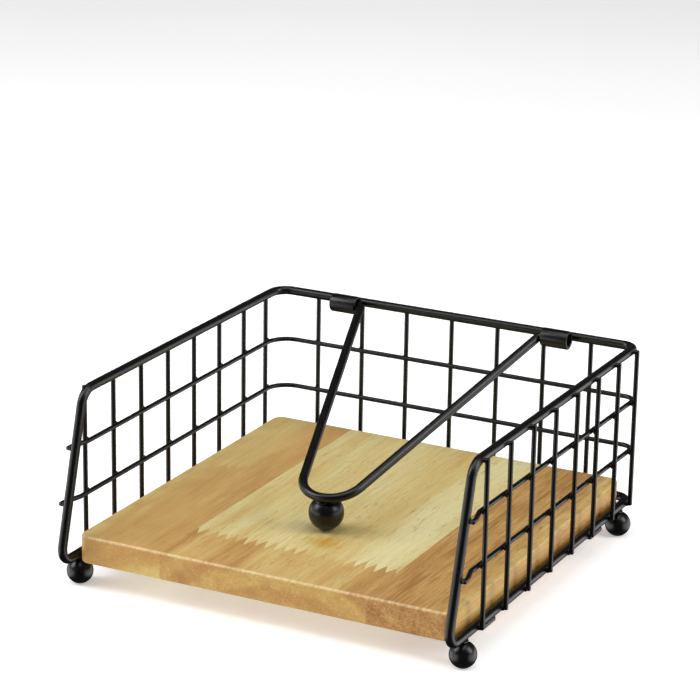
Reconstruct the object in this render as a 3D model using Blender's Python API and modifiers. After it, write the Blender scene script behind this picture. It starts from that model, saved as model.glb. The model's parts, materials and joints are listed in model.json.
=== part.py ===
"""Flat napkin dispenser: a welded wire basket on ball feet, a wooden board and a weighted arm.

Units are metres and +Z is up. The front, which is open, faces -Y. The origin lies on the
surface that the feet stand on, under the middle of the object's box.
"""
import math

import bmesh
import bpy
from mathutils import Matrix, Vector

# Stock
HEAVY_R = 0.0021            # rim and arm: 4 mm wire with its powder coat
MESH_R = 0.0011             # grid: 2 mm wire with its powder coat
GAP = 0.0003                # between pieces that are welded, seated or resting

# Rim: one closed loop, a U at the bottom, a U at the top and a slope at each front end
RIM_X = 0.094
REAR_Y = 0.0980
RIM_HEIGHT = 0.0747
SLOPE_FOOT_Y = REAR_Y - 0.2004
SLOPE_HEAD_Y = REAR_Y - 0.1799
REAR_BENDS = {"left": 0.008, "right": 0.006}
SLOPE_FOOT_BEND = 0.006
SLOPE_HEAD_BEND = 0.009

# Feet: balls with a small flat, under the side rails
FOOT_R = 0.006
FOOT_FLAT_R = 0.0022
FOOT_YS = {"front": REAR_Y - 0.1845, "rear": REAR_Y - 0.0130}
FOOT_Z = math.sqrt(FOOT_R ** 2 - FOOT_FLAT_R ** 2)

RIM_Z = FOOT_Z + FOOT_R + GAP + HEAVY_R
RIM_TOP_Z = RIM_Z + RIM_HEIGHT

# Grid: uprights on the outer face of the rim, two long wires just inside them
PITCH = 0.024
UPRIGHT_OUT = HEAVY_R + MESH_R + GAP
LONG_OUT = UPRIGHT_OUT - 2 * MESH_R - GAP
UPRIGHT_BELOW = 0.0006
UPRIGHT_TOPS = {"left": 0.0, "right": 0.0010, "back": 0.0002}    # past the top rail's centre line
SIDE_FIRST_Y = REAR_Y - 0.1735
SIDE_LAST_Y = REAR_Y - 0.0075
SIDE_COUNT = 8
BACK_COUNT = 7
BACK_SHIFT = -0.0018        # the back panel's uprights stand a little left of centre
LONG_LEVELS = {"lower": 0.0255, "upper": 0.0495}
LONG_BENDS = {"left": 0.011, "right": 0.006}
WING_RISE = 0.0025          # the right wing climbs this much towards its front end
END_PAST = 0.0010           # long wires end this far in front of the slope's centre
JOG_START = 0.0024
JOG_LENGTH = 0.0090
JOG_BEND = 0.006

# Board and the four tabs that carry it
TAB_SIZE = (0.0163, 0.0140, 0.0015)
TAB_OUTER_X = RIM_X + 0.0013
TAB_YS = {"front": REAR_Y - 0.1610, "rear": REAR_Y - 0.0425}
TAB_HOLE_R = 0.0019
TAB_CORNER_R = 0.004
TAB_EDGE_R = 0.001
TAB_TOP_Z = RIM_Z - HEAVY_R - GAP

BOARD_SIZE = (0.183, 0.1847, 0.013)
BOARD_Y = REAR_Y - 0.0055 - BOARD_SIZE[1] / 2
BOARD_CORNER_R = 0.005
BOARD_EDGE = 0.0009
BOARD_Z = TAB_TOP_Z + GAP
BOARD_TOP_Z = BOARD_Z + BOARD_SIZE[2]
PILOT_DEPTH = 0.009

# Wood screws, from below
SCREW_X = 0.085
SCREW_R = 0.0015
SCREW_LENGTH = 0.0095
SCREW_TIP = 0.0036
SCREW_HEAD_R = 0.0032
SCREW_HEAD_H = 0.0020
SCREW_CROWN_R = 0.0024
SCREW_HEAD_TOP_Z = TAB_TOP_Z - TAB_SIZE[2] - GAP

# Hinge sleeves on the front face of the top rear rail
SLEEVE_R = 0.0044
SLEEVE_BORE_R = 0.0028
SLEEVE_LENGTH = 0.0135
SLEEVE_CHAMFER = 0.0003
SLEEVE_X = 0.0553
PIVOT_X = 0.0013            # the arm and its sleeves sit a little right of centre
PIVOT_Y = REAR_Y - HEAVY_R - SLEEVE_R - GAP
PIVOT_Z = RIM_TOP_Z

# Arm: one wire, from stub to leg to a U bend, back to the other leg and stub
LEG_X = 0.0469
LEG_BEND = 0.0032
STUB_END_X = 0.0590
LEGS_MEET = 0.1810          # where the straight legs would cross
APEX_BEND = 0.0145
BALL_R = 0.008
BALL_LEAN = math.radians(12.0)

CYLINDER_SIDES = 12
BALL_SEGMENTS = 24
ARC_STEP = math.radians(15.0)


def material(name, color, roughness, metallic):
    """A Principled material."""
    result = bpy.data.materials.new(name)
    result.use_nodes = True
    shader = result.node_tree.nodes["Principled BSDF"]
    shader.inputs["Base Color"].default_value = (*color, 1.0)
    shader.inputs["Roughness"].default_value = roughness
    shader.inputs["Metallic"].default_value = metallic
    return result


def place(name, data, collection, finish, location=(0, 0, 0), rotation=(0, 0, 0), parent=None):
    """Link a new object for one piece, with its own copy of a finish."""
    piece = bpy.data.objects.new(name, data)
    collection.objects.link(piece)
    if not data.materials:
        data.materials.append(finish)
    piece.material_slots[0].link = "OBJECT"
    piece.material_slots[0].material = finish.copy()
    piece.material_slots[0].material.name = name
    piece.location = location
    piece.rotation_euler = rotation
    piece.parent = parent
    return piece


def rounded(corners, bends, closed=False):
    """A path through corners, each rounded to its bend radius. A bend of 0 leaves a point."""
    points = []
    count = len(corners)
    for i, (corner, bend) in enumerate(zip(corners, bends)):
        corner = Vector(corner)
        if not closed and i in (0, count - 1):
            points.append(corner)
            continue
        back = (Vector(corners[i - 1]) - corner).normalized()
        ahead = (Vector(corners[(i + 1) % count]) - corner).normalized()
        turn = math.pi - back.angle(ahead)
        start = corner + back * bend * math.tan(turn / 2)
        centre = corner + (back + ahead).normalized() * bend / math.cos(turn / 2)
        axis = ahead.cross(back).normalized()
        steps = max(2, math.ceil(turn / ARC_STEP))
        for step in range(steps + 1):
            points.append(centre + Matrix.Rotation(turn * step / steps, 3, axis) @ (start - centre))
    return points


def wire(name, points, radius, sides, closed=False):
    """A round wire along a path. sides is 8 or 12."""
    data = bpy.data.curves.new(name, "CURVE")
    data.dimensions = "3D"
    data.bevel_depth = radius
    data.bevel_resolution = sides // 2 - 2
    data.use_fill_caps = not closed
    data.resolution_u = 1
    spline = data.splines.new("POLY")
    spline.points.add(len(points) - 1)
    for slot, point in zip(spline.points, points):
        slot.co = (*point, 1.0)
    spline.use_cyclic_u = closed
    return data


def rod(name, length, radius):
    """A straight round wire, standing on its origin."""
    data = bpy.data.meshes.new(name)
    shape = bmesh.new()
    bmesh.ops.create_cone(
        shape, cap_ends=True, segments=CYLINDER_SIDES, radius1=radius, radius2=radius,
        depth=length, matrix=Matrix.Translation((0, 0, length / 2)))
    shape.to_mesh(data)
    shape.free()
    data.shade_smooth()
    data.set_sharp_from_angle(angle=math.radians(50))
    return data


def turned(name, profile, closed=False):
    """The bare profile of a turned piece, in its XZ plane, outer side from top to bottom."""
    data = bpy.data.meshes.new(name)
    shape = bmesh.new()
    ring = [shape.verts.new((x, 0, z)) for x, z in profile]
    for first, second in zip(ring, ring[1:]):
        shape.edges.new((first, second))
    if closed:
        shape.edges.new((ring[-1], ring[0]))
    shape.to_mesh(data)
    shape.free()
    return data


def spin(piece, segments):
    """Turn a profile about its local Z axis."""
    screw = piece.modifiers.new("spin", "SCREW")
    screw.steps = segments
    screw.render_steps = segments
    screw.use_merge_vertices = True
    screw.merge_threshold = 0.00001
    screw.use_smooth_shade = True


def slope_y(z):
    """Where the front slope's centre line stands at a height."""
    share = (z - RIM_Z) / RIM_HEIGHT
    return SLOPE_FOOT_Y + (SLOPE_HEAD_Y - SLOPE_FOOT_Y) * share


def rim_side(side, sign):
    """One side's corners and bends, from the bottom at the rear to the top at the rear."""
    return [
        ((sign * RIM_X, REAR_Y, RIM_Z), REAR_BENDS[side]),
        ((sign * RIM_X, SLOPE_FOOT_Y, RIM_Z), SLOPE_FOOT_BEND),
        ((sign * RIM_X, SLOPE_HEAD_Y, RIM_TOP_Z), SLOPE_HEAD_BEND),
        ((sign * RIM_X, REAR_Y, RIM_TOP_Z), REAR_BENDS[side]),
    ]


def make_rim(collection, finish):
    """The heavy loop that everything is welded to."""
    corners, bends = zip(*rim_side("left", -1), *reversed(rim_side("right", 1)))
    path = rounded(corners, bends, closed=True)
    place("rim_wire", wire("rim_wire", path, HEAVY_R, 12, closed=True), collection, finish)


def make_uprights(collection, finish):
    """The short wires that stand on the outer face of the rim."""
    foot_z = RIM_Z - UPRIGHT_BELOW
    uprights = {
        panel: rod(f"upright_{panel}", RIM_HEIGHT + UPRIGHT_BELOW + top, MESH_R)
        for panel, top in UPRIGHT_TOPS.items()}
    side_ys = [SIDE_FIRST_Y + PITCH * i for i in range(SIDE_COUNT - 1)] + [SIDE_LAST_Y]
    for side, sign in (("left", -1), ("right", 1)):
        for number, y in enumerate(side_ys, start=1):
            spot = (sign * (RIM_X + UPRIGHT_OUT), y, foot_z)
            place(f"side_wire_{side}_{number}", uprights[side], collection, finish, spot)
    for number in range(1, BACK_COUNT + 1):
        x = BACK_SHIFT + PITCH * (number - (BACK_COUNT + 1) / 2)
        spot = (x, REAR_Y + UPRIGHT_OUT, foot_z)
        place(f"back_wire_{number}", uprights["back"], collection, finish, spot)


def make_long_wires(collection, finish):
    """Two wires that run round three sides, inside the uprights, and over the front slopes."""
    side_x = RIM_X + LONG_OUT
    back_y = REAR_Y + LONG_OUT
    end_x = RIM_X + UPRIGHT_OUT
    for level, above in LONG_LEVELS.items():
        corners = []
        for sign, rise in ((-1, 0.0), (1, WING_RISE)):
            back_z = RIM_Z + above
            front_z = back_z + rise
            front_y = slope_y(front_z)
            jog_y = front_y + JOG_START
            wing = [
                (sign * end_x, front_y - END_PAST, front_z),
                (sign * end_x, jog_y, front_z),
                (sign * side_x, jog_y + JOG_LENGTH, front_z),
                (sign * side_x, back_y, back_z),
            ]
            corners += wing if sign < 0 else wing[::-1]
        bends = (0, JOG_BEND, JOG_BEND, *LONG_BENDS.values(), JOG_BEND, JOG_BEND, 0)
        name = f"long_wire_{level}"
        place(name, wire(name, rounded(corners, bends), MESH_R, 8), collection, finish)


def make_feet(collection, finish):
    """Four balls, each with a flat underneath."""
    low = math.acos(-FOOT_Z / FOOT_R)
    rows = BALL_SEGMENTS // 2
    angles = [low * row / rows for row in range(rows + 1)]
    profile = [(FOOT_R * math.sin(a), FOOT_R * math.cos(a)) for a in angles]
    foot = turned("foot", [(0, FOOT_R)] + profile[1:] + [(0, -FOOT_Z)])
    for end, y in FOOT_YS.items():
        for side, sign in (("left", -1), ("right", 1)):
            spot = (sign * RIM_X, y, FOOT_Z)
            spin(place(f"foot_{end}_{side}", foot, collection, finish, spot), BALL_SEGMENTS)


def make_tabs(collection, finish):
    """Flat tabs under the side rails, with a screw hole, that reach in under the board."""
    length, width, thickness = TAB_SIZE
    inner_x = TAB_OUTER_X - length
    data = bpy.data.curves.new("tab", "CURVE")
    data.dimensions = "2D"
    data.fill_mode = "BOTH"
    data.extrude = thickness / 2
    data.resolution_u = 1
    corners = [
        (TAB_OUTER_X - SCREW_X, width / 2, 0), (inner_x - SCREW_X, width / 2, 0),
        (inner_x - SCREW_X, -width / 2, 0), (TAB_OUTER_X - SCREW_X, -width / 2, 0)]
    outline = rounded(corners, (TAB_EDGE_R, TAB_CORNER_R, TAB_CORNER_R, TAB_EDGE_R), closed=True)
    turns = [2 * math.pi * i / CYLINDER_SIDES for i in range(CYLINDER_SIDES)]
    hole = [Vector((TAB_HOLE_R * math.cos(a), TAB_HOLE_R * math.sin(a), 0)) for a in turns]
    for ring in (outline, hole):
        spline = data.splines.new("POLY")
        spline.points.add(len(ring) - 1)
        for slot, point in zip(spline.points, ring):
            slot.co = (*point, 1.0)
        spline.use_cyclic_u = True
    for end, y in TAB_YS.items():
        for side, sign in (("left", -1), ("right", 1)):
            spot = (sign * SCREW_X, y, TAB_TOP_Z - thickness / 2)
            turn = (0, 0, math.pi if sign < 0 else 0)
            place(f"board_tab_{end}_{side}", data, collection, finish, spot, turn)


def make_board(collection, cutters, finish):
    """The board, with a blind pilot hole over each tab."""
    width, depth, thickness = BOARD_SIZE
    data = bpy.data.meshes.new("board")
    shape = bmesh.new()
    bmesh.ops.create_cube(shape, matrix=Matrix.Diagonal((width, depth, thickness, 1.0)))
    upright_edges = [e for e in shape.edges if abs(e.verts[0].co.z - e.verts[1].co.z) > thickness / 2]
    bmesh.ops.bevel(
        shape, geom=upright_edges, offset=BOARD_CORNER_R, offset_type="OFFSET",
        segments=6, profile=0.5, affect="EDGES")
    shape.to_mesh(data)
    shape.free()
    board = place("board", data, collection, finish, (0, BOARD_Y, BOARD_Z + thickness / 2))
    edge = board.modifiers.new("edge", "BEVEL")
    edge.width = BOARD_EDGE
    edge.segments = 2
    edge.limit_method = "ANGLE"
    edge.angle_limit = math.radians(40)

    holes = bpy.data.meshes.new("pilot_holes")
    shape = bmesh.new()
    for y in TAB_YS.values():
        for sign in (-1, 1):
            spot = (sign * SCREW_X, y, BOARD_Z)
            bmesh.ops.create_cone(
                shape, cap_ends=True, segments=CYLINDER_SIDES, radius1=SCREW_R + GAP,
                radius2=SCREW_R + GAP, depth=2 * PILOT_DEPTH, matrix=Matrix.Translation(spot))
    shape.to_mesh(holes)
    shape.free()
    cutter = bpy.data.objects.new("pilot_holes", holes)
    cutters.objects.link(cutter)
    cutter.hide_render = True
    cutter.display_type = "WIRE"
    cut = board.modifiers.new("pilot_holes", "BOOLEAN")
    cut.operation = "DIFFERENCE"
    cut.object = cutter


def make_screws(collection, finish):
    """Pan-head wood screws that hold the board down on its tabs."""
    profile = [
        (0, SCREW_LENGTH), (SCREW_R, SCREW_LENGTH - SCREW_TIP), (SCREW_R, 0),
        (SCREW_HEAD_R, 0), (SCREW_HEAD_R, -SCREW_HEAD_H * 0.5), (SCREW_CROWN_R, -SCREW_HEAD_H),
        (0, -SCREW_HEAD_H)]
    screw = turned("screw", profile)
    for end, y in TAB_YS.items():
        for side, sign in (("left", -1), ("right", 1)):
            spot = (sign * SCREW_X, y, SCREW_HEAD_TOP_Z)
            spin(place(f"screw_{end}_{side}", screw, collection, finish, spot), CYLINDER_SIDES)


def make_sleeves(collection, finish):
    """Two short tubes in which the arm's stubs turn."""
    half = SLEEVE_LENGTH / 2
    inner, outer, cut = SLEEVE_BORE_R, SLEEVE_R, SLEEVE_CHAMFER
    profile = [
        (inner, half), (outer - cut, half), (outer, half - cut),
        (outer, cut - half), (outer - cut, -half), (inner, -half)]
    sleeve = turned("sleeve", profile, closed=True)
    for side, sign in (("left", -1), ("right", 1)):
        spot = (PIVOT_X + sign * SLEEVE_X, PIVOT_Y, PIVOT_Z)
        turn = (0, math.pi / 2, 0)
        spin(place(f"hinge_sleeve_{side}", sleeve, collection, finish, spot, turn), BALL_SEGMENTS)


def arm_geometry():
    """The arm's reach from its axis to the wire's centre at the apex, and its angle at rest."""
    half_angle = math.atan(LEG_X / LEGS_MEET)
    reach = LEGS_MEET + APEX_BEND - APEX_BEND / math.sin(half_angle)
    drop = PIVOT_Z - (BOARD_TOP_Z + GAP + BALL_R)
    hang = BALL_R + HEAVY_R + GAP
    along = reach - hang * math.sin(BALL_LEAN)
    below = hang * math.cos(BALL_LEAN)
    rest = math.asin(drop / math.hypot(along, below)) - math.atan2(below, along)
    return along, below, rest


def make_arm(collection, finish):
    """The arm and its ball, on an empty that stands on the hinge axis."""
    along, below, rest = arm_geometry()
    pivot = bpy.data.objects.new("arm_pivot", None)
    collection.objects.link(pivot)
    pivot.location = (PIVOT_X, PIVOT_Y, PIVOT_Z)
    pivot.rotation_euler = (rest, 0, 0)
    corners = [
        (-STUB_END_X, 0, 0), (-LEG_X, 0, 0), (0, -LEGS_MEET, 0), (LEG_X, 0, 0), (STUB_END_X, 0, 0)]
    path = rounded(corners, (0, LEG_BEND, APEX_BEND, LEG_BEND, 0))
    place("arm_wire", wire("arm_wire", path, HEAVY_R, 12), collection, finish, parent=pivot)

    data = bpy.data.meshes.new("arm_ball")
    shape = bmesh.new()
    bmesh.ops.create_uvsphere(
        shape, u_segments=BALL_SEGMENTS, v_segments=BALL_SEGMENTS // 2, radius=BALL_R)
    shape.to_mesh(data)
    shape.free()
    data.shade_smooth()
    place("arm_ball", data, collection, finish, (0, -along, -below), parent=pivot)


def main():
    """Build the whole object."""
    for old in list(bpy.data.objects):
        bpy.data.objects.remove(old, do_unlink=True)
    parts = bpy.data.collections.new("napkin_dispenser")
    cutters = bpy.data.collections.new("cutters")
    bpy.context.scene.collection.children.link(parts)
    bpy.context.scene.collection.children.link(cutters)

    coat = material("black_powder_coat", (0.012, 0.012, 0.013), 0.45, 0.0)
    wood = material("rubberwood", (0.56, 0.36, 0.15), 0.5, 0.0)
    zinc = material("zinc_plate", (0.62, 0.62, 0.60), 0.35, 1.0)

    make_rim(parts, coat)
    make_uprights(parts, coat)
    make_long_wires(parts, coat)
    make_feet(parts, coat)
    make_tabs(parts, coat)
    make_board(parts, cutters, wood)
    make_screws(parts, zinc)
    make_sleeves(parts, coat)
    make_arm(parts, coat)


main()
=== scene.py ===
"""Looks of the flat napkin dispenser: coated wire, weld beads, a rubberwood board and a studio.

Lengths are metres, +Z is up and the open front faces -Y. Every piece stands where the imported
frame has its node.
"""
import json
import math

import bmesh
import bpy
from mathutils import Matrix, Vector, noise


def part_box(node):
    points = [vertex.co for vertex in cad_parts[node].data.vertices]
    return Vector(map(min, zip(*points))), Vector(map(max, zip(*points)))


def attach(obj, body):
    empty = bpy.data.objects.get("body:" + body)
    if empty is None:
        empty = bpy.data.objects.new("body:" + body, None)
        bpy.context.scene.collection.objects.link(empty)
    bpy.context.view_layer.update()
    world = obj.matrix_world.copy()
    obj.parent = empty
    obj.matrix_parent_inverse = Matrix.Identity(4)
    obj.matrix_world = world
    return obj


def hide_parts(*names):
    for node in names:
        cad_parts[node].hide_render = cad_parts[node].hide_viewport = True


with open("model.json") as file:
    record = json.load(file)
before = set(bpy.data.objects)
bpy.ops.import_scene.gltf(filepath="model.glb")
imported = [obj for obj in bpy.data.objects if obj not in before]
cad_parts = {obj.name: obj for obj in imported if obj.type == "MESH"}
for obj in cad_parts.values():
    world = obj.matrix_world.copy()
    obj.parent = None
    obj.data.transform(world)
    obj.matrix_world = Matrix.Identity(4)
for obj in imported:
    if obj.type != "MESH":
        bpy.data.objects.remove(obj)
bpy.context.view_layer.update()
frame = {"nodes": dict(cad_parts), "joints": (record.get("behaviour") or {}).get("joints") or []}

# Stock
HEAVY_R = 0.0021            # rim and arm
MESH_R = 0.0011             # grid
GAP = 0.0003                # what the frame leaves between welded or resting pieces

# The rim's shape, which its box doesn't say
SLOPE_FOOT_BACK = 0.2004    # from the rear rail to the slope's foot and head
SLOPE_HEAD_BACK = 0.1799
REAR_BENDS = {"left": 0.008, "right": 0.006}
SLOPE_FOOT_BEND = 0.006
SLOPE_HEAD_BEND = 0.009

# The long wires' front ends
LONG_BENDS = {"left": 0.011, "right": 0.006}
END_PAST = 0.0010
JOG_START = 0.0024
JOG_LENGTH = 0.0090
JOG_BEND = 0.006

# The arm's shape
LEG_X = 0.0469
LEG_BEND = 0.0032
LEGS_MEET = 0.1810
APEX_BEND = 0.0145
BALL_LEAN = math.radians(12.0)

# Small pieces
TAB_HOLE_R = 0.0019
TAB_CORNER_R = 0.004
TAB_EDGE_R = 0.001
TAB_ROUND = 0.0002
SLEEVE_BORE_R = 0.0028
SLEEVE_ROUND = 0.0006
FOOT_FLAT_R = 0.0022
FOOT_FLAT_RING = 0.6        # share of the flat's radius at which its inner ring of points runs
SCREW_CORE_R = 0.0011
SCREW_THREAD_R = 0.0015
SCREW_PITCH = 0.0011
SCREW_TIP = 0.0036
SCREW_HEAD_H = 0.0020
SCREW_CROWN = 0.62          # share of the head's height that its crown takes
SCREW_RIM = 0.0002          # the chamfer under the head
SCREW_RIDGE = 4.5           # how narrow the thread's ridge is in its pitch
SCREW_TURN = 0.6            # how far the recess has turned, in radians
RECESS_BAR = (0.0034, 0.0007, 0.0022)

# Board
BOARD_CORNER_R = 0.005
BOARD_EDGE_R = 0.0011
PILOT_R = 0.0018
PILOT_DEPTH = 0.009

# Fineness
ARC_STEP = math.radians(6.0)
HEAVY_SIDES = 32
MESH_SIDES = 20
RING_STEP = 0.002
SHARP = 35.0                # degrees between faces from which an edge stays sharp
BALL_ROWS = 48
FOOT_ROWS = 40
HOLE_SIDES = 40
PILOT_SIDES = 32
BALL_SIDES = 96
FOOT_SIDES = 64
TUBE_SIDES = 64
SCREW_SIDES = 28
TURN_ROWS = 12              # rows of points in one turn of the screw's thread
WELD_STEP = 0.000005        # points of a tab that stand closer than this are one
WIRE_END_ROUND = 0.0006
COAT_UNEVEN = 0.012         # share of the radius by which the coat's thickness wanders
COAT_WAVE = 0.0025          # how long that takes

# Weld beads: half sizes through the panel, along the rail and up
CROSS_BEAD = (0.0006, 0.0013, 0.0013)
RAIL_BEAD = (0.0009, 0.0012, 0.0013)
TOP_BEAD = (0.0016, 0.0013, 0.0010)
TOP_BEAD_DROP = 1.1         # share of the top bead's half height that it stands below the tip

# Weld beads: half sizes along X, Y and Z
FOOT_BEAD = (0.0021, 0.0026, 0.0008)
TAB_BEAD = (0.0013, 0.0024, 0.0007)
TAB_BEAD_STEP = 0.0038
SLEEVE_BEAD = (0.0024, 0.0009, 0.0019)
SLEEVE_BEAD_STEP = 0.0032
SLEEVE_BEAD_LIFT = 0.0004
BALL_BEAD = (0.0030, 0.0024, 0.0009)
BEAD_LUMP = 0.16            # share of the size by which a bead is lumpy
BEAD_WAVE = 1.7             # lumps over a bead's half size
BEAD_SHARP = 80.0

# Studio
CAMERA_PLACE = (0.5393, -1.0755, 0.4880)
CAMERA_YAW = math.radians(-26.84)
CAMERA_PITCH = math.radians(-17.90)
CAMERA_ROLL = math.radians(0.96)
CAMERA_LENS = 145.5
CAMERA_NEAR = 0.05
SENSOR = 36.0
AIM = Vector((0, 0, 0.045))
FLOOR_SIZE = 12.0
FLOOR_GLOW = 0.4
SKY = 0.07
SIDE_PANELS = 2.5           # how much brighter the sky is low down to the left and right
SOFT_BOXES = (              # name, azimuth, elevation, distance, width and height, power
    ("left_box", -60, 38, 1.6, (0.8, 1.1), 17),
    ("right_box", 100, 36, 1.6, (0.8, 1.1), 15.5),
    ("top_box", 10, 82, 1.7, (1.4, 1.4), 14.5),
)

MM = 0.001


def box_of(node):
    """The lowest corner, the highest corner and the centre of a node's box."""
    low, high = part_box(node)
    return low, high, (low + high) / 2


# Places, all from the frame
rim_low, rim_high, _ = box_of("rim_wire")
RIM_X = rim_high.x - HEAVY_R
REAR_Y = rim_high.y - HEAVY_R
RIM_Z = rim_low.z + HEAVY_R
RIM_TOP_Z = rim_high.z - HEAVY_R
SLOPE_FOOT_Y = REAR_Y - SLOPE_FOOT_BACK
SLOPE_HEAD_Y = REAR_Y - SLOPE_HEAD_BACK
PIVOT = Vector(frame["joints"][0]["pos_m"])
SIDES = (("left", -1), ("right", 1))
ENDS = ("front", "rear")
LEVELS = ("lower", "upper")


# ---------------------------------------------------------------- meshes

def settled(shape, name):
    """A mesh from a bmesh, which is then freed."""
    data = bpy.data.meshes.new(name)
    shape.to_mesh(data)
    shape.free()
    return data


def finish_mesh(name, data, finish, sharp=SHARP):
    """A new object from a mesh, with outward faces, smooth but for its sharp edges."""
    shape = bmesh.new()
    shape.from_mesh(data)
    bmesh.ops.recalc_face_normals(shape, faces=shape.faces)
    shape.to_mesh(data)
    shape.free()
    data.name = name
    data.shade_smooth()
    data.set_sharp_from_angle(angle=math.radians(sharp))
    data.materials.clear()
    data.materials.append(finish)
    piece = bpy.data.objects.new(name, data)
    bpy.context.scene.collection.objects.link(piece)
    return piece


def stand_for(piece, node, body):
    """Put a piece in the place of a CAD node."""
    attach(piece, body)
    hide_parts(node)


def skin(name, rings, loop=False, low_cap=None, high_cap=None):
    """A mesh over rings of equal count. loop joins the last to the first, and a cap is a point."""
    count = len(rings[0])
    points = [tuple(p) for ring in rings for p in ring]
    faces = []
    spans = len(rings) if loop else len(rings) - 1
    for i in range(spans):
        here, there = i * count, ((i + 1) % len(rings)) * count
        for j in range(count):
            k = (j + 1) % count
            faces.append((here + j, here + k, there + k, there + j))
    for cap, start in ((low_cap, 0), (high_cap, (len(rings) - 1) * count)):
        if cap is not None:
            points.append(tuple(cap))
            tip = len(points) - 1
            faces += [(start + j, start + (j + 1) % count, tip) for j in range(count)]
    data = bpy.data.meshes.new(name)
    data.from_pydata(points, [], faces)
    return data


def rounded(corners, bends):
    """A path through corners, each rounded to its bend radius. A bend of 0 leaves a point."""
    points = []
    count = len(corners)
    for i, (corner, bend) in enumerate(zip(corners, bends)):
        corner = Vector(corner)
        if bend == 0:
            points.append(corner)
            continue
        back = (Vector(corners[i - 1]) - corner).normalized()
        ahead = (Vector(corners[(i + 1) % count]) - corner).normalized()
        turn = math.pi - back.angle(ahead)
        start = corner + back * bend * math.tan(turn / 2)
        centre = corner + (back + ahead).normalized() * bend / math.cos(turn / 2)
        axis = ahead.cross(back).normalized()
        steps = max(2, math.ceil(turn / ARC_STEP))
        for step in range(steps + 1):
            spin = Matrix.Rotation(turn * step / steps, 3, axis)
            points.append(centre + spin @ (start - centre))
    return points


def spaced(points, closed=False):
    """The same path with more points on its long runs."""
    result = []
    spans = zip(points, points[1:] + points[:1]) if closed else zip(points, points[1:])
    for here, there in spans:
        steps = max(1, round((there - here).length / RING_STEP))
        result += [here.lerp(there, step / steps) for step in range(steps)]
    return result if closed else result + [points[-1]]


def end_rings(points, radius):
    """Points and radii of a wire whose cut ends are rounded over."""
    first, last = points[0], points[-1]
    ahead = (points[1] - first).normalized()
    back = (points[-2] - last).normalized()
    depths = [WIRE_END_ROUND * (1 - math.cos(math.pi / 2 * i / 4)) for i in range(5)]
    widths = [
        radius - WIRE_END_ROUND + math.sqrt(WIRE_END_ROUND ** 2 - (WIRE_END_ROUND - d) ** 2)
        for d in depths]
    clear = WIRE_END_ROUND * 1.5
    inside = [p for p in points if min((p - first).length, (p - last).length) > clear]
    path = [first + ahead * d for d in depths] + inside + [last + back * d for d in depths[::-1]]
    return path, widths + [radius] * len(inside) + widths[::-1]


def wire(name, corners, radius, sides, finish, closed=False):
    """A coated wire along a path, with rounded cut ends and a coat of slightly uneven thickness."""
    points = spaced(corners, closed)
    radii = [radius] * len(points)
    if not closed:
        points, radii = end_rings(points, radius)
    count = len(points)
    runs = []
    for i in range(count):
        before = points[i - 1] if closed or i else points[i]
        after = points[(i + 1) % count] if closed or i < count - 1 else points[i]
        runs.append((after - before).normalized())
    across = runs[0].orthogonal().normalized()
    frames = [across]
    for before, after in zip(runs, runs[1:]):
        across = before.rotation_difference(after) @ across
        across = (across - after * across.dot(after)).normalized()
        frames.append(across)
    twist = 0.0
    if closed:
        home = runs[-1].rotation_difference(runs[0]) @ frames[-1]
        twist = home.angle(frames[0]) * (-1 if home.cross(frames[0]).dot(runs[0]) < 0 else 1)
    rings = []
    for i, (point, run, across, width) in enumerate(zip(points, runs, frames, radii)):
        across = Matrix.Rotation(twist * i / count, 3, run) @ across
        up = run.cross(across)
        ring = []
        for j in range(sides):
            angle = 2 * math.pi * j / sides
            out = across * math.cos(angle) + up * math.sin(angle)
            uneven = 1 - COAT_UNEVEN * (0.5 + 0.5 * noise.noise((point + out * width) / COAT_WAVE))
            ring.append(point + out * width * uneven)
        rings.append(ring)
    caps = {} if closed else {"low_cap": points[0], "high_cap": points[-1]}
    return finish_mesh(name, skin(name, rings, loop=closed, **caps), finish)


def turned(name, profile, segments, place, loop=False):
    """A mesh turned about its local Z axis. A profile's ends at radius 0 close to a point."""
    caps = {}
    rows = list(profile)
    if rows[0][0] == 0:
        caps["low_cap"] = place @ Vector((0, 0, rows.pop(0)[1]))
    if rows[-1][0] == 0:
        caps["high_cap"] = place @ Vector((0, 0, rows.pop()[1]))
    angles = [2 * math.pi * j / segments for j in range(segments)]
    rings = [
        [place @ Vector((r * math.cos(a), r * math.sin(a), z)) for a in angles] for r, z in rows]
    return skin(name, rings, loop=loop, **caps)


def corner_arc(centre, radius, start, end, steps=6):
    """Profile points on an arc, angles in degrees from +X towards +Z."""
    angles = [math.radians(start + (end - start) * i / steps) for i in range(steps + 1)]
    return [(centre[0] + radius * math.cos(a), centre[1] + radius * math.sin(a)) for a in angles]


def ball_profile(radius, end, rows):
    """Profile points of a ball from its top, over an angle."""
    angles = [end * i / rows for i in range(1, rows + 1)]
    return [(0, radius)] + [(radius * math.sin(a), radius * math.cos(a)) for a in angles]


def beads(name, spots, finish, body):
    """Weld beads as one piece. A spot is a centre, three half sizes and a turn about X."""
    shape = bmesh.new()
    for centre, size, lean in spots:
        turn = Matrix.Rotation(lean, 3, "X")
        made = bmesh.ops.create_icosphere(shape, subdivisions=3, radius=1.0)
        for vert in made["verts"]:
            lump = 1 + BEAD_LUMP * noise.noise(vert.co * BEAD_WAVE + centre / MM)
            vert.co = centre + turn @ Vector(c * s * lump for c, s in zip(vert.co, size))
    piece = finish_mesh(name, settled(shape, name), finish, sharp=BEAD_SHARP)
    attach(piece, body)
    return piece


def applied(piece):
    """The piece with its modifiers made part of its mesh."""
    graph = bpy.context.evaluated_depsgraph_get()
    data = bpy.data.meshes.new_from_object(piece.evaluated_get(graph), depsgraph=graph)
    piece.modifiers.clear()
    piece.data = data
    return piece


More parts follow.
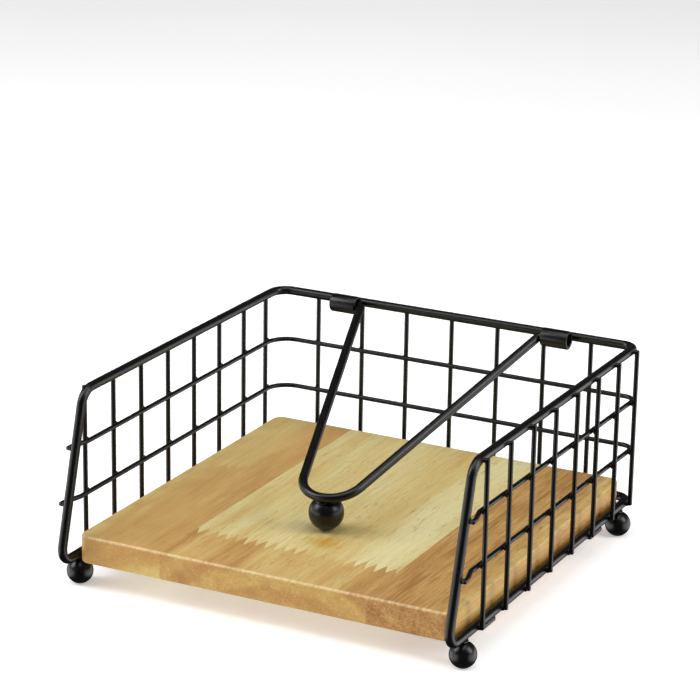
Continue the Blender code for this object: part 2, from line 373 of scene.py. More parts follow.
def cut(piece, cutter_data):
    """Cut a mesh out of a piece."""
    cutter = bpy.data.objects.new("cutter", cutter_data)
    bpy.context.scene.collection.objects.link(cutter)
    change = piece.modifiers.new("cut", "BOOLEAN")
    change.operation = "DIFFERENCE"
    change.solver = "EXACT"
    change.object = cutter
    applied(piece)
    bpy.data.objects.remove(cutter)


# ---------------------------------------------------------------- materials

def linear(red, green, blue):
    """An 8-bit display colour as the linear colour that shaders take."""
    shares = [c / 255 for c in (red, green, blue)]
    return tuple(s / 12.92 if s <= 0.04045 else ((s + 0.055) / 1.055) ** 2.4 for s in shares)


class Graph:
    """A material and short names for its nodes. A value is a number, a colour or a socket."""

    def __init__(self, name, **constants):
        self.material = bpy.data.materials.new(name)
        self.material.use_nodes = True
        self.tree = self.material.node_tree
        self.shader = self.tree.nodes["Principled BSDF"]
        for socket, value in constants.items():
            self.shader.inputs[socket.replace("_", " ").title()].default_value = value
        coordinates = self.tree.nodes.new("ShaderNodeTexCoord")
        self.place = self.vector("SCALE", coordinates.outputs["Object"], 1 / MM)
        self.normal = coordinates.outputs["Normal"]

    def put(self, socket, value):
        if isinstance(value, bpy.types.NodeSocket):
            self.tree.links.new(value, socket)
        elif isinstance(value, (tuple, list)) and len(socket.default_value) == 4:
            socket.default_value = (*value[:3], 1.0)
        else:
            socket.default_value = value

    def calc(self, operation, *values, clamp=False):
        node = self.tree.nodes.new("ShaderNodeMath")
        node.operation = operation
        node.use_clamp = clamp
        for socket, value in zip(node.inputs, values):
            self.put(socket, value)
        return node.outputs[0]

    def vector(self, operation, first, second):
        node = self.tree.nodes.new("ShaderNodeVectorMath")
        node.operation = operation
        self.put(node.inputs[0], first)
        self.put(node.inputs["Scale" if operation == "SCALE" else 1], second)
        return node.outputs["Vector"]

    def split(self, vector):
        node = self.tree.nodes.new("ShaderNodeSeparateXYZ")
        self.put(node.inputs[0], vector)
        return node.outputs

    def noise(self, stretch, detail=2.0, rough=0.5, seed=None):
        """Noise whose features are stretch millimetres long along X, Y and Z."""
        node = self.tree.nodes.new("ShaderNodeTexNoise")
        node.noise_dimensions = "3D" if seed is None else "4D"
        lengths = stretch if isinstance(stretch, tuple) else (stretch,) * 3
        shares = tuple(1 / length for length in lengths)
        self.put(node.inputs["Vector"], self.vector("MULTIPLY", self.place, shares))
        if seed is not None:
            self.put(node.inputs["W"], seed)
        node.inputs["Scale"].default_value = 1.0
        node.inputs["Detail"].default_value = detail
        node.inputs["Roughness"].default_value = rough
        return node.outputs["Fac"]

    def ramp(self, value, stops):
        """Values or colours at places between the first stop and the last."""
        node = self.tree.nodes.new("ShaderNodeValToRGB")
        low, high = stops[0][0], stops[-1][0]
        band = node.color_ramp
        while len(band.elements) < len(stops):
            band.elements.new(1.0)
        for element, (place, colour) in zip(band.elements, stops):
            element.position = (place - low) / (high - low)
            shade = colour if isinstance(colour, tuple) else (colour,) * 3
            element.color = (*shade, 1.0)
        share = self.calc("DIVIDE", self.calc("SUBTRACT", value, low), high - low)
        self.put(node.inputs[0], share)
        return node.outputs["Color"]

    def mix(self, share, first, second, blend="MIX"):
        node = self.tree.nodes.new("ShaderNodeMix")
        node.data_type = "RGBA"
        node.blend_type = blend
        self.put(node.inputs["Factor"], share)
        self.put(node.inputs[6], first)
        self.put(node.inputs[7], second)
        return node.outputs[2]

    def bump(self, height, distance, under=None):
        node = self.tree.nodes.new("ShaderNodeBump")
        self.put(node.inputs["Height"], height)
        node.inputs["Distance"].default_value = distance
        if under is not None:
            self.put(node.inputs["Normal"], under)
        return node.outputs["Normal"]

    def feed(self, **sockets):
        for name, value in sockets.items():
            self.put(self.shader.inputs[name.replace("_", " ").title()], value)
        return self.material


def make_coat():
    """Semi-matt black powder coat: fine orange peel, a few dust nibs, a slight mottle."""
    g = Graph("black_powder_coat")
    g.shader.inputs["Specular IOR Level"].default_value = 0.35
    mottle = g.noise(3.5, detail=3.0)
    peel = g.noise(0.55, detail=2.0)
    nibs = g.ramp(g.noise(0.5, detail=0.0), [(0.0, 0.0), (0.82, 0.0), (0.90, 1.0), (1.0, 1.0)])
    colour = g.ramp(mottle, [
        (0.2, linear(5, 5, 5)), (0.5, linear(7, 7, 6)), (0.8, linear(11, 10, 9))])
    rough = g.ramp(mottle, [(0.25, 0.26), (0.75, 0.32)])
    relief = g.bump(peel, 0.000006)
    return g.feed(base_color=colour, roughness=rough, normal=g.bump(nibs, 0.00004, relief))


def make_zinc():
    """Bright zinc plate with fine turning marks."""
    g = Graph("zinc_plate", metallic=1.0)
    cloud = g.noise(1.2, detail=3.0)
    marks = g.noise((0.9, 0.9, 0.06), detail=1.0)
    colour = g.ramp(cloud, [(0.2, linear(170, 172, 172)), (0.8, linear(208, 209, 205))])
    rough = g.ramp(marks, [(0.2, 0.24), (0.8, 0.42)])
    return g.feed(base_color=colour, roughness=rough, normal=g.bump(marks, 0.00002))


# Wood lightness, from 0 to 1, and the colours it stands for
WOOD_TONES = [
    (0.0, linear(154, 108, 56)), (0.30, linear(187, 146, 86)), (0.50, linear(197, 163, 100)),
    (0.70, linear(206, 185, 121)), (1.0, linear(219, 209, 157))]

# An amber mineral stain, in millimetres: where it is and how far it spreads along X and Y
STAIN_PLACE = (8.0, -46.0)
STAIN_SPREAD = 10.0

# The board is glued up from three lanes. Each block has its own heart, the line its growth rings
# circle, given in millimetres across the board and up, and its lightness by distance from there.
LANE_EDGES = (-49.5, 51.0)
BLOCKS = {
    "left_rear": {"heart": (-100, -30), "seed": 3.1, "figure": 0.7, "pores": 0.35, "tones": [
        (45, 0.58), (57, 0.60), (62, 0.54), (66, 0.44), (70, 0.34), (76, 0.40)]},
    "left_front": {"heart": (-36, -49), "seed": 11.7, "figure": 0.8, "pores": 0.45, "tones": [
        (55, 0.80), (67, 0.76), (71, 0.52), (76, 0.32), (80, 0.44), (84, 0.34), (89, 0.50),
        (94, 0.58)]},
    "middle_rear": {"heart": (140, -60), "seed": 23.4, "figure": 1.0, "pores": 0.8, "tones": [
        (118, 0.70), (126, 0.90), (130, 1.00), (134, 0.97), (138, 0.90), (143, 0.68), (149, 0.62),
        (157, 0.68), (164, 0.78), (171, 0.84), (178, 0.76), (186, 0.70), (193, 0.82), (199, 0.66),
        (203, 0.76), (210, 0.86)]},
    "middle_front": {"heart": (11.5, -44), "seed": 37.9, "figure": 1.1, "pores": 1.0, "tones": [
        (54, 0.56), (60, 0.36), (63, 0.34), (66, 0.54), (72, 0.56), (75, 0.28), (79, 0.26),
        (82, 0.48), (87, 0.46), (91, 0.24), (96, 0.24)]},
    "right": {"heart": (8, -40), "seed": 53.2, "figure": 1.9, "pores": 1.3, "tones": [
        (60, 0.30), (76, 0.22), (82, 0.20), (88, 0.22), (95, 0.26), (100, 0.36), (104, 0.54),
        (110, 0.56)]},
}
EDGE_TINT = (0.90, 0.79, 0.52)
EDGE_HIGHLIGHT_REACH = 1.3             # how far the painted edge highlight reaches from the top front edge, in millimetres
EDGE_HIGHLIGHT_GAIN = 1.3
FINGER_PITCH = 4.9
FINGER_LENGTH = 7.5
FINGER_UNEVEN = 5.0
LEFT_JOINT_Y = 17.0
MIDDLE_JOINT_Y = -61.5


def make_wood(low, high):
    """Lacquered rubberwood in glued lanes with finger joints, in solid texture."""
    g = Graph("rubberwood", roughness=0.45)
    x, y, z = g.split(g.place)

    def over(value, limit):
        return g.calc("GREATER_THAN", value, limit)

    def reach_of(first, second):
        """The length of the slanting side over two distances."""
        squares = [g.calc("POWER", value, 2.0) for value in (first, second)]
        return g.calc("SQRT", g.calc("ADD", *squares))

    def behind_joint(joint_y):
        """1 behind a zigzag glue line and 0 in front of it."""
        phase = g.calc("FRACT", g.calc("DIVIDE", x, FINGER_PITCH))
        zigzag = g.calc("MULTIPLY", g.calc("ABSOLUTE", g.calc("SUBTRACT", phase, 0.5)), 2.0)
        uneven = g.calc("MULTIPLY", g.calc("SUBTRACT", g.noise((4, 1000, 1000), 0.0), 0.5), FINGER_UNEVEN)
        line = g.calc("MULTIPLY_ADD", g.calc("SUBTRACT", zigzag, 0.5), FINGER_LENGTH, joint_y)
        return over(y, g.calc("ADD", line, uneven))

    past_left = over(x, LANE_EDGES[0])
    past_right = over(x, LANE_EDGES[1])
    left_rear = behind_joint(LEFT_JOINT_Y)
    middle_rear = behind_joint(MIDDLE_JOINT_Y)

    def choose(values):
        """One of five values, by the block that a point is in."""
        left = g.mix(left_rear, values["left_front"], values["left_rear"])
        middle = g.mix(middle_rear, values["middle_front"], values["middle_rear"])
        return g.mix(past_right, g.mix(past_left, left, middle), values["right"])

    seed, figure, poring = (
        choose({name: (block[trait],) * 3 for name, block in BLOCKS.items()})
        for trait in ("seed", "figure", "pores"))
    wander = g.calc("SUBTRACT", g.noise((9, 70, 9), 2.0, seed=seed), 0.5)
    ripple = g.calc("SUBTRACT", g.noise((2.2, 26, 2.2), 3.0, seed=seed), 0.5)
    shift = g.calc("ADD", g.calc("MULTIPLY", wander, 9.0), g.calc("MULTIPLY", ripple, 4.0))
    tones = {}
    for name, block in BLOCKS.items():
        heart_x, heart_z = block["heart"]
        aside = g.calc("SUBTRACT", x, heart_x)
        above = g.calc("SUBTRACT", z, heart_z)
        tones[name] = g.ramp(g.calc("ADD", reach_of(aside, above), shift), block["tones"])
    tone = choose(tones)

    cloud = g.calc("SUBTRACT", g.noise((7, 45, 7), 2.0, seed=seed), 0.5)
    streak = g.calc("SUBTRACT", g.noise((1.3, 34, 1.3), 2.0, 0.6, seed=seed), 0.5)
    fibre = g.calc("SUBTRACT", g.noise((0.55, 13, 0.55), 3.0, 0.6, seed=seed), 0.5)
    grain = g.calc("MULTIPLY", cloud, 0.40)
    grain = g.calc("MULTIPLY_ADD", streak, 0.50, grain)
    grain = g.calc("MULTIPLY_ADD", fibre, 0.36, grain)
    tone = g.calc("MULTIPLY_ADD", grain, figure, tone, clamp=True)
    colour = g.ramp(tone, WOOD_TONES)

    # Pores: short brown dashes along the grain, dots on the end grain
    dash = g.noise((0.42, 5.0, 0.42), 1.0, 0.4, seed=seed)
    pores = g.ramp(dash, [(0.0, 0.0), (0.60, 0.0), (0.70, 1.0), (1.0, 1.0)])
    patches = g.ramp(
        g.noise((6, 26, 6), 2.0, seed=seed), [(0.0, 0.0), (0.40, 0.0), (0.62, 1.0), (1.0, 1.0)])
    pored = g.calc("MULTIPLY", pores, g.calc("MULTIPLY_ADD", patches, 0.60, 0.12))
    pored = g.calc("MULTIPLY", pored, poring, clamp=True)
    colour = g.mix(pored, colour, linear(146, 88, 34))

    # The four edges drink more lacquer, and on end grain the vessels show as pale specks
    facing = g.split(g.normal)
    edge = g.ramp(
        g.calc("ABSOLUTE", facing[2]), [(0.0, 1.0), (0.2, 1.0), (0.6, 0.0), (1.0, 0.0)])
    colour = g.mix(edge, colour, g.mix(1.0, colour, EDGE_TINT, "MULTIPLY"))
    end_grain = g.ramp(
        g.calc("ABSOLUTE", facing[1]), [(0.0, 0.0), (0.5, 0.0), (0.85, 1.0), (1.0, 1.0)])
    specks = g.ramp(g.noise(0.7, 1.0, 0.5), [(0.0, 0.0), (0.66, 0.0), (0.80, 0.5), (1.0, 0.8)])
    colour = g.mix(g.calc("MULTIPLY", specks, end_grain), colour, linear(236, 214, 164))

    # A painted highlight along the top front edge, broken up like sanded, worn fibres
    near_front, near_top = (
        g.calc("SUBTRACT", 1.0, g.calc("DIVIDE", g.calc("SUBTRACT", *pair), EDGE_HIGHLIGHT_REACH), clamp=True)
        for pair in ((y, low.y / MM), (high.z / MM, z)))
    broken = g.ramp(
        g.noise((1.6, 9, 9), 3.0, 0.6), [(0.0, 0.1), (0.35, 0.25), (0.7, 1.0), (1.0, 1.0)])
    pale = g.calc("MULTIPLY", g.calc("MULTIPLY", near_front, near_top), broken)
    colour = g.mix(g.calc("MULTIPLY", pale, EDGE_HIGHLIGHT_GAIN, clamp=True), colour, linear(232, 208, 162))

    # One amber mineral stain in front of the ball's place
    stain_x = g.calc("DIVIDE", g.calc("SUBTRACT", x, STAIN_PLACE[0]), STAIN_SPREAD)
    stain_y = g.calc("DIVIDE", g.calc("SUBTRACT", y, STAIN_PLACE[1]), STAIN_SPREAD)
    uneven = g.calc("MULTIPLY", g.calc("SUBTRACT", g.noise((2.2, 6, 5), 3.0), 0.5), 1.6)
    ragged = g.calc("ADD", reach_of(stain_x, stain_y), uneven)
    stain = g.ramp(ragged, [(0.0, 0.85), (0.35, 0.70), (1.0, 0.0), (1.5, 0.0)])
    colour = g.mix(stain, colour, linear(182, 134, 40))

    relief = g.bump(fibre, 0.00006)
    relief = g.bump(g.calc("SUBTRACT", 1.0, pores), 0.00004, relief)
    rough = g.ramp(g.noise((1.2, 18, 1.2), 2.0), [(0.2, 0.42), (0.8, 0.56)])
    return g.feed(base_color=colour, roughness=rough, normal=relief)


# ---------------------------------------------------------------- frame pieces

def slope_y(z):
    """Where the front slope's centre line stands at a height."""
    return SLOPE_FOOT_Y + (SLOPE_HEAD_Y - SLOPE_FOOT_Y) * (z - RIM_Z) / (RIM_TOP_Z - RIM_Z)


def rim_side(side, sign):
    """One side's corners and bends, from the bottom at the rear to the top at the rear."""
    return [
        ((sign * RIM_X, REAR_Y, RIM_Z), REAR_BENDS[side]),
        ((sign * RIM_X, SLOPE_FOOT_Y, RIM_Z), SLOPE_FOOT_BEND),
        ((sign * RIM_X, SLOPE_HEAD_Y, RIM_TOP_Z), SLOPE_HEAD_BEND),
        ((sign * RIM_X, REAR_Y, RIM_TOP_Z), REAR_BENDS[side]),
    ]


def make_rim(coat):
    """The heavy loop."""
    corners, bends = zip(*rim_side("left", -1), *reversed(rim_side("right", 1)))
    path = rounded(corners, bends)
    rim = wire("rim_coated", path, HEAVY_R, HEAVY_SIDES, coat, closed=True)
    stand_for(rim, "rim_wire", "frame")


def long_wire_shape(level):
    """Heights at the back and at the right front, X of ends and sides, and Y of the back."""
    low, high, _ = box_of(f"long_wire_{level}")
    back_y = high.y - MESH_R
    return low.z + MESH_R, high.z - MESH_R, high.x - MESH_R, RIM_X + back_y - REAR_Y, back_y


def wing(level, sign):
    """One side's corners of a long wire, from its front end to its rear corner."""
    back_z, right_z, end_x, side_x, back_y = long_wire_shape(level)
    front_z = right_z if sign > 0 else back_z
    front_y = slope_y(front_z)
    jog_y = front_y + JOG_START
    return [
        (sign * end_x, front_y - END_PAST, front_z),
        (sign * end_x, jog_y, front_z),
        (sign * side_x, jog_y + JOG_LENGTH, front_z),
        (sign * side_x, back_y, back_z),
    ]


def long_wire_z(level, sign, y):
    """The height of a long wire's centre on a side panel."""
    corners = wing(level, sign)
    (_, front_y, front_z), (_, back_y, back_z) = corners[2], corners[3]
    return front_z + (back_z - front_z) * (y - front_y) / (back_y - front_y)


def bead_size(out, along, size):
    """Half sizes along X, Y and Z of a bead that is size through, along and up."""
    through, run, up = size
    return Vector((
        abs(out.x) * through + abs(along.x) * run, abs(out.y) * through + abs(along.y) * run, up))


def make_grid(coat):
    """Uprights and long wires, with a bead at every weld."""
    for level in LEVELS:
        corners = wing(level, -1) + wing(level, 1)[::-1]
        bends = (0, JOG_BEND, JOG_BEND, *LONG_BENDS.values(), JOG_BEND, JOG_BEND, 0)
        piece = wire(f"grid_wire_{level}", rounded(corners, bends), MESH_R, MESH_SIDES, coat)
        stand_for(piece, f"long_wire_{level}", "frame")

    spots = {"left": [], "right": [], "back": []}
    for node in sorted(frame["nodes"]):
        if not node.startswith(("side_wire_", "back_wire_")):
            continue
        low, high, centre = box_of(node)
        foot = Vector((centre.x, centre.y, low.z))
        head = Vector((centre.x, centre.y, high.z))
        piece = wire(node.replace("wire", "upright"), [foot, head], MESH_R, MESH_SIDES, coat)
        stand_for(piece, node, "frame")
        if node.startswith("back"):
            out, along = Vector((0, 1, 0)), Vector((1, 0, 0))
            heights = [long_wire_shape(level)[0] for level in LEVELS]
            group = spots["back"]
        else:
            sign = 1 if centre.x > 0 else -1
            out, along = Vector((sign, 0, 0)), Vector((0, 1, 0))
            heights = [long_wire_z(level, sign, centre.y) for level in LEVELS]
            group = spots["right" if sign > 0 else "left"]
        contact = Vector((centre.x, centre.y, 0)) - out * (MESH_R + GAP / 2)
        for z in heights:
            group.append((contact + Vector((0, 0, z)), bead_size(out, along, CROSS_BEAD), 0.0))
        group.append((contact + Vector((0, 0, RIM_Z)), bead_size(out, along, RAIL_BEAD), 0.0))
        top = high.z - TOP_BEAD[2] * TOP_BEAD_DROP
        group.append((contact + Vector((0, 0, top)), bead_size(out, along, TOP_BEAD), 0.0))
    for side, sign in SIDES:
        for level in LEVELS:
            end = Vector(wing(level, sign)[0])
            spot = Vector((sign * (RIM_X + HEAVY_R + GAP / 2), end.y + END_PAST, end.z))
            spots[side].append((spot, Vector(RAIL_BEAD), 0.0))
    for group, places in spots.items():
        beads(f"weld_beads_{group}", places, coat, "frame")


def make_feet(coat):
    """Balls with a small worn flat, each in a ring of weld."""
    spots = []
    for end in ENDS:
        for side, sign in SIDES:
            node = f"foot_{end}_{side}"
            low, high, centre = box_of(node)
            radius = (high.x - low.x) / 2
            flat = math.asin(FOOT_FLAT_R / radius)
            place = Matrix.Translation((centre.x, centre.y, high.z - radius))
            floor_z = low.z - high.z + radius
            profile = ball_profile(radius, math.pi - flat, FOOT_ROWS)
            profile += [(FOOT_FLAT_R * FOOT_FLAT_RING, floor_z), (0, floor_z)]
            data = turned(node, profile, FOOT_SIDES, place)
            stand_for(finish_mesh(f"ball_{node}", data, coat), node, "frame")
            spot = Vector((centre.x, centre.y, high.z + GAP / 2))
            spots.append((spot, Vector(FOOT_BEAD), 0.0))
    beads("weld_beads_feet", spots, coat, "frame")


def punched(name, outlines, thickness, z):
    """A mesh of sheet with rolled edges, from an outline and the hole in it."""
    curve = bpy.data.curves.new(name, "CURVE")
    curve.dimensions = "2D"
    curve.fill_mode = "BOTH"
    curve.bevel_depth = TAB_ROUND
    curve.bevel_resolution = 2
    curve.offset = -TAB_ROUND
    curve.extrude = thickness / 2 - TAB_ROUND
    for ring in outlines:
        spline = curve.splines.new("POLY")
        spline.points.add(len(ring) - 1)
        for place, point in zip(spline.points, ring):
            place.co = (*point, 1.0)
        spline.use_cyclic_u = True
    flat = bpy.data.objects.new(name, curve)
    flat.location.z = z
    bpy.context.scene.collection.objects.link(flat)
    bpy.context.view_layer.update()
    graph = bpy.context.evaluated_depsgraph_get()
    data = bpy.data.meshes.new_from_object(flat.evaluated_get(graph), depsgraph=graph)
    data.transform(flat.matrix_world)
    bpy.data.objects.remove(flat)
    shape = bmesh.new()
    shape.from_mesh(data)
    bmesh.ops.remove_doubles(shape, verts=shape.verts, dist=WELD_STEP)
    shape.to_mesh(data)
    shape.free()
    return data


def make_tabs(coat):
    """Punched tabs with rolled edges, welded along the side rails."""
    spots = []
    for end in ENDS:
        for side, sign in SIDES:
            node = f"board_tab_{end}_{side}"
            low, high, centre = box_of(node)
            screw = box_of(f"screw_{end}_{side}")[2]
            outer, inner = (low.x, high.x) if sign < 0 else (high.x, low.x)
            corners = [
                (outer, high.y, 0), (inner, high.y, 0), (inner, low.y, 0), (outer, low.y, 0)]
            bends = (TAB_EDGE_R, TAB_CORNER_R, TAB_CORNER_R, TAB_EDGE_R)
            outline = rounded(corners, bends)
            turns = [2 * math.pi * i / HOLE_SIDES for i in range(HOLE_SIDES)]
            hole = [
                Vector((screw.x + TAB_HOLE_R * math.cos(a), screw.y + TAB_HOLE_R * math.sin(a), 0))
                for a in turns]
            data = punched(node, (outline, hole), high.z - low.z, centre.z)
            stand_for(finish_mesh(f"{node}_coated", data, coat), node, "frame")
            for step in (-1, 0, 1):
                spot = Vector((sign * RIM_X, centre.y + step * TAB_BEAD_STEP, high.z + GAP / 2))
                spots.append((spot, Vector(TAB_BEAD), 0.0))
    beads("weld_beads_tabs", spots, coat, "frame")


def make_screws(zinc):
    """Pan-head wood screws with a cross recess and a running thread."""
    turns = [2 * math.pi * j / SCREW_SIDES for j in range(SCREW_SIDES)]
    for end in ENDS:
        for side, sign in SIDES:
            node = f"screw_{end}_{side}"
            low, high, centre = box_of(node)
            head_r = (high.x - low.x) / 2
            seat = low.z + SCREW_HEAD_H
            rings = []
            rows = round((high.z - seat) / SCREW_PITCH * TURN_ROWS)
            for row in range(rows):
                z = high.z - (high.z - seat) * (row + 0.5) / rows
                taper = min(1.0, (high.z - z) / SCREW_TIP)
                runout = min(1.0, (z - seat) / SCREW_PITCH)
                ring = []
                for angle in turns:
                    phase = (z / SCREW_PITCH - angle / (2 * math.pi)) % 1.0
                    ridge = max(0.0, 1 - abs(phase - 0.5) * SCREW_RIDGE)
                    reach = SCREW_CORE_R + (SCREW_THREAD_R - SCREW_CORE_R) * ridge * runout
                    reach *= taper
                    ring.append((reach * math.cos(angle), reach * math.sin(angle), z))
                rings.append(ring)
            crown = SCREW_HEAD_H * SCREW_CROWN
            profile = [
                (SCREW_CORE_R, seat), (head_r - SCREW_RIM, seat), (head_r, seat - SCREW_RIM)]
            profile += corner_arc((head_r - crown, low.z + crown), crown, 0, -90, 8)
            for r, z in profile:
                rings.append([(r * math.cos(a), r * math.sin(a), z) for a in turns])
            data = skin(node, rings, low_cap=(0, 0, high.z), high_cap=(0, 0, low.z))
            data.transform(Matrix.Translation((centre.x, centre.y, 0)))
            piece = finish_mesh(f"{node}_plated", data, zinc)
            for turn in (0, math.pi / 2):
                lean = Matrix.Rotation(turn + SCREW_TURN * sign, 4, "Z")
                place = Matrix.Translation((centre.x, centre.y, low.z)) @ lean
                bar = bmesh.new()
                bmesh.ops.create_cube(
                    bar, size=1.0, matrix=place @ Matrix.Diagonal((*RECESS_BAR, 1)))
                cut(piece, settled(bar, "recess"))
            stand_for(piece, node, "frame")


def make_sleeves(coat):
    """Short thick tubes with rounded ends, welded along the rear rail."""
    spots = []
    for side, sign in SIDES:
        node = f"hinge_sleeve_{side}"
        low, high, centre = box_of(node)
        outer, half = (high.z - low.z) / 2, (high.x - low.x) / 2
        edge = SLEEVE_ROUND
        profile = corner_arc((outer - edge, half - edge), edge, 90, 0)
        profile += corner_arc((outer - edge, edge - half), edge, 0, -90)
        lip = edge / 2
        profile += corner_arc((SLEEVE_BORE_R + lip, lip - half), lip, -90, -180, 4)
        profile += corner_arc((SLEEVE_BORE_R + lip, half - lip), lip, 180, 90, 4)
        place = Matrix.Translation(centre) @ Matrix.Rotation(math.pi / 2, 4, "Y")
        data = turned(node, profile, TUBE_SIDES, place, loop=True)
        stand_for(finish_mesh(f"{node}_coated", data, coat), node, "frame")
        for step in (-1, 0, 1):
            spot = Vector((
                centre.x + step * SLEEVE_BEAD_STEP, REAR_Y - HEAVY_R - GAP / 2,
                centre.z + SLEEVE_BEAD_LIFT))
            spots.append((spot, Vector(SLEEVE_BEAD), 0.0))
    beads("weld_beads_sleeves", spots, coat, "frame")


def make_board():
    """The board: rounded corners and edges, pilot holes underneath."""
    low, high, centre = box_of("board")
    size = high - low
    shape = bmesh.new()
    place = Matrix.Translation(centre) @ Matrix.Diagonal((*size, 1.0))
    bmesh.ops.create_cube(shape, size=1.0, matrix=place)
    standing = [e for e in shape.edges if abs(e.verts[0].co.z - e.verts[1].co.z) > size.z / 2]
    bmesh.ops.bevel(
        shape, geom=standing, offset=BOARD_CORNER_R, offset_type="OFFSET",
        segments=12, profile=0.5, affect="EDGES")
    around = [e for e in shape.edges if abs(e.verts[0].co.z - e.verts[1].co.z) < size.z / 2]
    bmesh.ops.bevel(
        shape, geom=around, offset=BOARD_EDGE_R, offset_type="OFFSET",
        segments=5, profile=0.5, affect="EDGES")
    board = finish_mesh("board_lacquered", settled(shape, "board"), make_wood(low, high))
    holes = bmesh.new()
    for end in ENDS:
        for side, _ in SIDES:
            screw = box_of(f"screw_{end}_{side}")[2]
            bmesh.ops.create_cone(
                holes, cap_ends=True, segments=PILOT_SIDES, radius1=PILOT_R, radius2=PILOT_R,
                depth=2 * PILOT_DEPTH, matrix=Matrix.Translation((screw.x, screw.y, low.z)))
    cut(board, settled(holes, "pilot_holes"))
    # Bevels must not shade the large flat faces
    board.data.set_sharp_from_angle(angle=math.radians(SHARP))
    board.modifiers.new("flat_faces", "WEIGHTED_NORMAL").keep_sharp = True
    applied(board)
    stand_for(board, "board", "frame")


# ---------------------------------------------------------------- arm

def make_arm(coat):
    """The V of wire that swings in the sleeves, with its ball."""
    low, high, ball = box_of("arm_ball")
    ball_r = (high.x - low.x) / 2
    hang = ball_r + HEAVY_R + GAP
    away = math.hypot(PIVOT.y - ball.y, PIVOT.z - ball.z)
    droop = math.atan2(PIVOT.z - ball.z, PIVOT.y - ball.y)
    rest = droop - math.asin(hang * math.cos(BALL_LEAN) / away)
    wire_low, wire_high, _ = box_of("arm_wire")
    stub_end = (wire_high.x - wire_low.x) / 2
    place = Matrix.Translation(PIVOT) @ Matrix.Rotation(rest, 4, "X")
    corners = [
        (-stub_end, 0, 0), (-LEG_X, 0, 0), (0, -LEGS_MEET, 0), (LEG_X, 0, 0), (stub_end, 0, 0)]
    path = [place @ p for p in rounded(corners, (0, LEG_BEND, APEX_BEND, LEG_BEND, 0))]
    arm = wire("arm_coated", path, HEAVY_R, HEAVY_SIDES, coat)
    stand_for(arm, "arm_wire", "arm")

    profile = ball_profile(ball_r, math.pi, BALL_ROWS)[:-1] + [(0, -ball_r)]
    data = turned("ball", profile, BALL_SIDES, Matrix.Translation(ball))
    stand_for(finish_mesh("arm_ball_coated", data, coat), "arm_ball", "arm")

    apex = min(path, key=lambda p: p.y)
    out = (ball - apex).normalized()
    spot = apex + out * (HEAVY_R + GAP / 2)
    lean = math.atan2(out.y, -out.z)
    beads("weld_bead_ball", [(spot, Vector(BALL_BEAD), lean)], coat, "arm")


# ---------------------------------------------------------------- studio

def make_camera():
    """A long lens, level with a raised eye, to the right of the front."""
    level = math.cos(CAMERA_PITCH)
    ahead = Vector((
        math.sin(CAMERA_YAW) * level, math.cos(CAMERA_YAW) * level, math.sin(CAMERA_PITCH)))
    right = ahead.cross(Vector((0, 0, 1))).normalized()
    turn = Matrix.Rotation(-CAMERA_ROLL, 3, ahead)
    right = turn @ right
    up = right.cross(ahead)
    data = bpy.data.cameras.new("camera")
    data.lens = CAMERA_LENS
    data.sensor_width = SENSOR
    data.clip_start = CAMERA_NEAR
    camera = bpy.data.objects.new("camera", data)
    axes = Matrix((right, up, -ahead)).transposed()
    camera.matrix_world = Matrix.Translation(CAMERA_PLACE) @ axes.to_4x4()
    bpy.context.scene.collection.objects.link(camera)
    bpy.context.scene.camera = camera


def make_light(name, azimuth, elevation, distance, size, power):
    """A soft box that faces the object. Azimuth 0 stands in front, 90 to the right."""
    around, above = math.radians(azimuth), math.radians(elevation)
    back = Vector((
        math.sin(around) * math.cos(above), -math.cos(around) * math.cos(above),
        math.sin(above)))
    data = bpy.data.lights.new(name, "AREA")
    data.shape = "RECTANGLE"
    data.size, data.size_y = size
    data.energy = power
    lamp = bpy.data.objects.new(name, data)
    lamp.location = AIM + back * distance
    lamp.rotation_mode = "QUATERNION"
    lamp.rotation_quaternion = (-back).to_track_quat("-Z", "Y")
    bpy.context.scene.collection.objects.link(lamp)


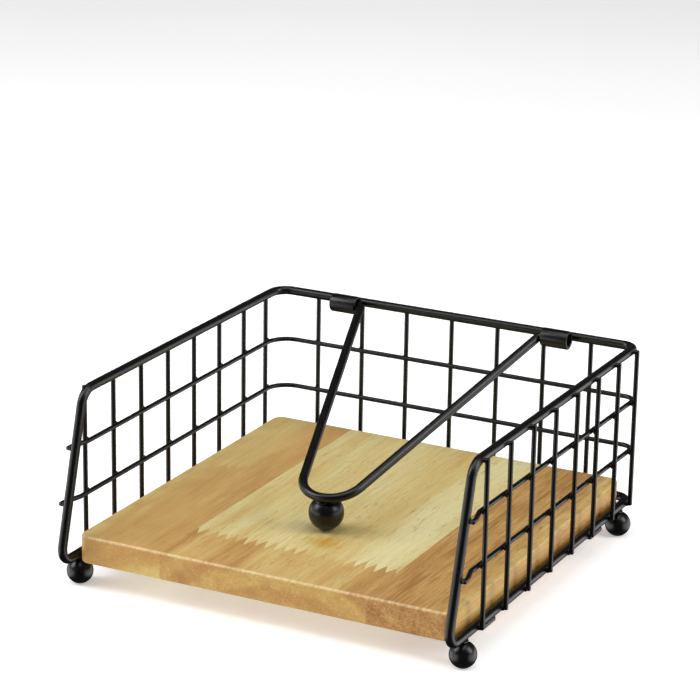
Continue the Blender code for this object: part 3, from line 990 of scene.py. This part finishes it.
def light_sky(tree):
    """A dim sky with a bright panel low down on each side, for the coat's long highlights."""
    def node(kind, *inputs, **settings):
        made = tree.nodes.new(kind)
        for name, value in settings.items():
            setattr(made, name, value)
        for socket, value in zip(made.inputs, inputs):
            if isinstance(value, bpy.types.NodeSocket):
                tree.links.new(value, socket)
            elif value is not None:
                socket.default_value = value
        return made.outputs

    toward = node("ShaderNodeTexCoord")["Generated"]
    side = (math.cos(CAMERA_YAW), -math.sin(CAMERA_YAW), 0)
    aside = node("ShaderNodeVectorMath", toward, side, operation="DOT_PRODUCT")["Value"]
    aside = node("ShaderNodeMath", aside, operation="ABSOLUTE")[0]
    height = node("ShaderNodeSeparateXYZ", toward)["Z"]
    across, over, under = (
        node("ShaderNodeMapRange", value, *limits, interpolation_type="SMOOTHSTEP")[0]
        for value, *limits in (
            (aside, 0.55, 0.88, 0.0, 1.0), (height, 0.05, 0.25, 1.0, 0.0),
            (height, -0.75, -0.45, 0.0, 1.0)))
    panel = node("ShaderNodeMath", over, under, operation="MULTIPLY")[0]
    panel = node("ShaderNodeMath", panel, across, operation="MULTIPLY")[0]
    strength = node("ShaderNodeMath", panel, SIDE_PANELS, SKY, operation="MULTIPLY_ADD")[0]
    tree.links.new(strength, tree.nodes["Background"].inputs["Strength"])
    tree.nodes["Background"].inputs["Color"].default_value = (1, 1, 1, 1)


def make_studio():
    """A pale floor, a pale sky and three soft boxes."""
    for box in SOFT_BOXES:
        make_light(*box)

    world = bpy.data.worlds.new("studio")
    world.use_nodes = True
    light_sky(world.node_tree)
    bpy.context.scene.world = world
    bpy.context.scene.view_settings.view_transform = "Standard"

    shape = bmesh.new()
    bmesh.ops.create_grid(shape, x_segments=8, y_segments=8, size=FLOOR_SIZE / 2)
    data = settled(shape, "floor")
    g = Graph("pale_floor", emission_color=(1, 1, 1, 1), emission_strength=FLOOR_GLOW)
    tint = g.noise(400, detail=2.0)
    colour = g.ramp(tint, [(0.3, (0.86, 0.86, 0.86)), (0.7, (0.90, 0.90, 0.90))])
    rough = g.ramp(tint, [(0.3, 0.80), (0.7, 0.90)])
    floor = finish_mesh("floor", data, g.feed(base_color=colour, roughness=rough))
    floor.visible_glossy = False


make_camera()
make_studio()
black = make_coat()
make_rim(black)
make_grid(black)
make_feet(black)
make_tabs(black)
make_sleeves(black)
make_arm(black)
make_screws(make_zinc())
make_board()
